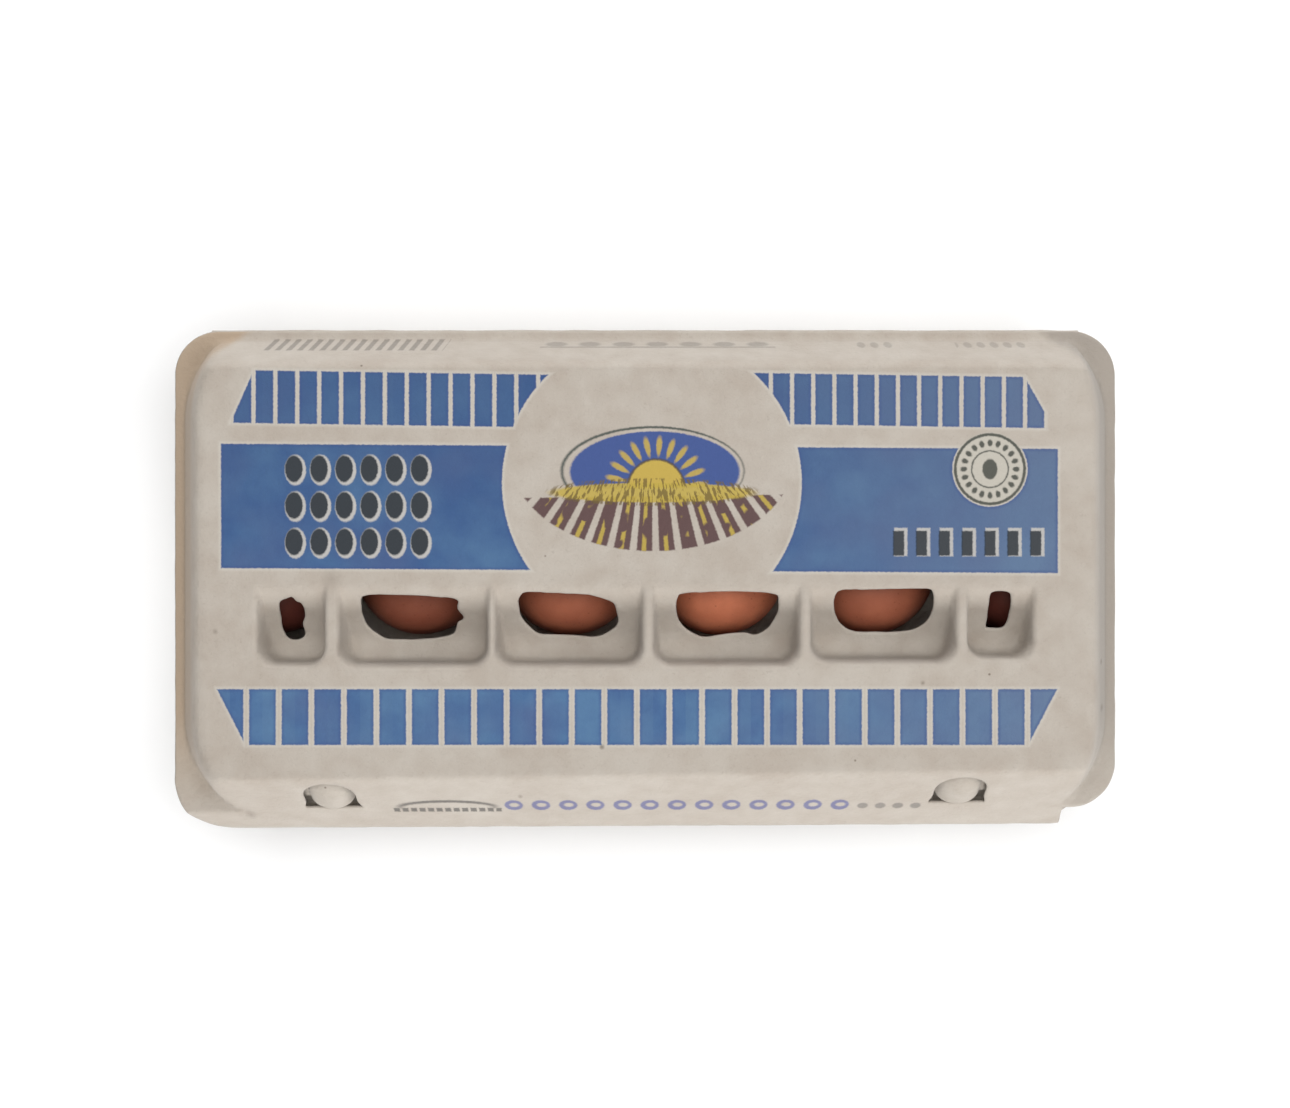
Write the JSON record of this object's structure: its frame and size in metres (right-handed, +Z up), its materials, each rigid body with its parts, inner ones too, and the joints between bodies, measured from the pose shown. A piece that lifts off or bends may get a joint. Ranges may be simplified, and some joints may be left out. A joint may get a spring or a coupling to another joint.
{
  "type": "egg carton with eggs",
  "caption": "Shut moulded pulp carton with eggs standing in cups, a hinged lid with sunk windows, and knobs that hold the lid's front wall shut.",
  "frame": {"origin": "on the standing surface, under the middle of the whole pack's box", "axes": "+X along the long side to the right when the locking front faces the viewer, +Y to the back where the lid is hinged, +Z up"},
  "size_m": [0.2988, 0.159, 0.068],
  "materials": {
    "pulp_tray": "matte",
    "pulp_lid": "matte",
    "egg_shell": "satin"
  },
  "bodies": {
    "base": {"tray": "pulp_tray", "egg_row1_column1": "egg_shell", "egg_row1_column2": "egg_shell", "egg_row1_column3": "egg_shell", "egg_row1_column4": "egg_shell", "egg_row1_column5": "egg_shell", "egg_row1_column6": "egg_shell", "egg_row2_column1": "egg_shell", "egg_row2_column2": "egg_shell", "egg_row2_column3": "egg_shell", "egg_row2_column4": "egg_shell", "egg_row2_column5": "egg_shell", "egg_row2_column6": "egg_shell", "egg_row3_column1": "egg_shell", "egg_row3_column2": "egg_shell", "egg_row3_column3": "egg_shell", "egg_row3_column4": "egg_shell", "egg_row3_column5": "egg_shell", "egg_row3_column6": "egg_shell"},
    "lid": {"lid": "pulp_lid"}
  },
  "joints": [
    {"name": "lid_fold", "type": "hinge", "parent": "base", "child": "lid", "pos_m": [0, 0.07967, 0.04415], "axis": [-1, 0, 0], "range_deg": [0, 180]}
  ]
}
